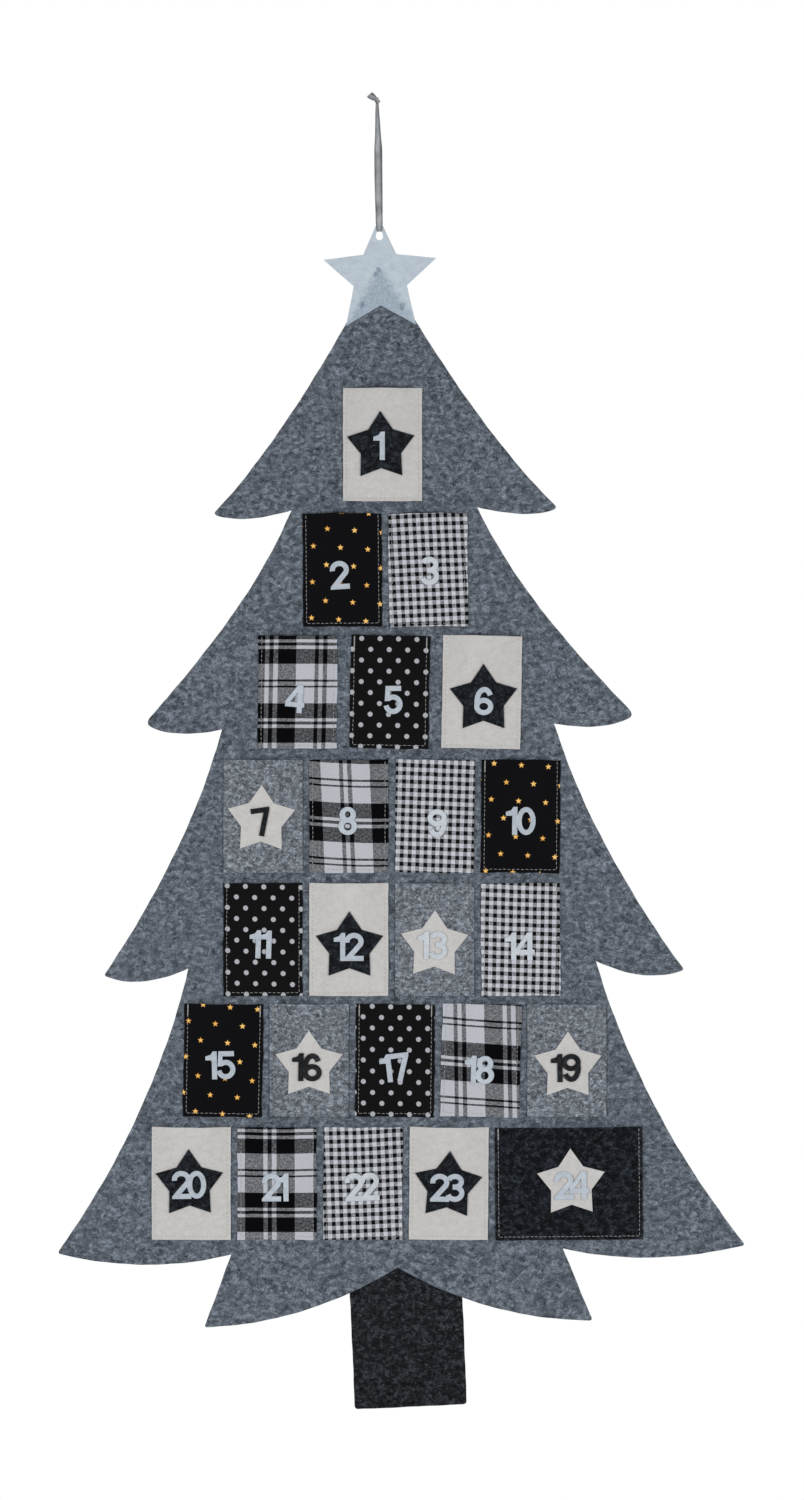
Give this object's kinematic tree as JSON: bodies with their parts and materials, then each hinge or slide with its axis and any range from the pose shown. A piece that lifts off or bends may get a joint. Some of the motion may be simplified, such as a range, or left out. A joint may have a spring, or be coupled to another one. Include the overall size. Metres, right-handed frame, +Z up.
{
  "type": "felt advent calendar",
  "caption": "Hanging felt tree with numbered cloth pockets sewn on its front, a star on its tip, a trunk behind its foot and a ribbon loop to hang it by.",
  "frame": {"origin": "the inside of the ribbon loop's top, just under the knot, where it hangs on its hook, in the middle plane of the star", "axes": "+Z up along the hanging ribbon and the tree, +X to the right across the tree seen from the front, +Y towards the wall, so the pockets face -Y"},
  "size_m": [0.6066, 0.0165, 1.1659],
  "materials": {
    "tree_felt": "mottled blue-grey felt",
    "grey_felt": "mottled grey felt",
    "cream_felt": "matte fibrous felt",
    "charcoal_felt": "matte fibrous felt",
    "pale_felt": "pale blue-grey felt",
    "starry_cotton": "black cotton with small gold stars",
    "dotted_cotton": "black cotton with white dots",
    "gingham_cotton": "woven black and white gingham",
    "plaid_cotton": "woven black and white plaid",
    "satin": "grey satin",
    "thread": "pale sewing thread"
  },
  "bodies": {
    "ribbon": {"hanging_ribbon": "satin", "ribbon_knot": "satin"},
    "tree": {"tree_panel": "tree_felt", "trunk": "charcoal_felt", "star_topper": "pale_felt", "pocket_seams": "thread", "charcoal_stars": "charcoal_felt", "cream_stars": "cream_felt", "pocket_01": "cream_felt", "pocket_02": "starry_cotton", "pocket_03": "gingham_cotton", "pocket_04": "plaid_cotton", "pocket_05": "dotted_cotton", "pocket_06": "cream_felt", "pocket_07": "grey_felt", "pocket_08": "plaid_cotton", "pocket_09": "gingham_cotton", "pocket_10": "starry_cotton", "pocket_11": "dotted_cotton", "pocket_12": "cream_felt", "pocket_13": "grey_felt", "pocket_14": "gingham_cotton", "pocket_15": "starry_cotton", "pocket_16": "grey_felt", "pocket_17": "dotted_cotton", "pocket_18": "plaid_cotton", "pocket_19": "grey_felt", "pocket_20": "cream_felt", "pocket_21": "plaid_cotton", "pocket_22": "gingham_cotton", "pocket_23": "cream_felt", "pocket_24": "charcoal_felt", "number_01": "pale_felt", "number_02": "pale_felt", "number_03": "pale_felt", "number_04": "pale_felt", "number_05": "pale_felt", "number_06": "pale_felt", "number_07": "charcoal_felt", "number_08": "pale_felt", "number_09": "pale_felt", "number_10": "pale_felt", "number_11": "pale_felt", "number_12": "pale_felt", "number_13": "pale_felt", "number_14": "pale_felt", "number_15": "pale_felt", "number_16": "charcoal_felt", "number_17": "pale_felt", "number_18": "pale_felt", "number_19": "charcoal_felt", "number_20": "pale_felt", "number_21": "pale_felt", "number_22": "pale_felt", "number_23": "pale_felt", "number_24": "pale_felt"}
  },
  "joints": [
    {"name": "tree_swing", "type": "hinge", "parent": "ribbon", "child": "tree", "pos_m": [0, 0, -0.114], "axis": [0, 1, 0], "range_deg": [-45, 45]}
  ]
}
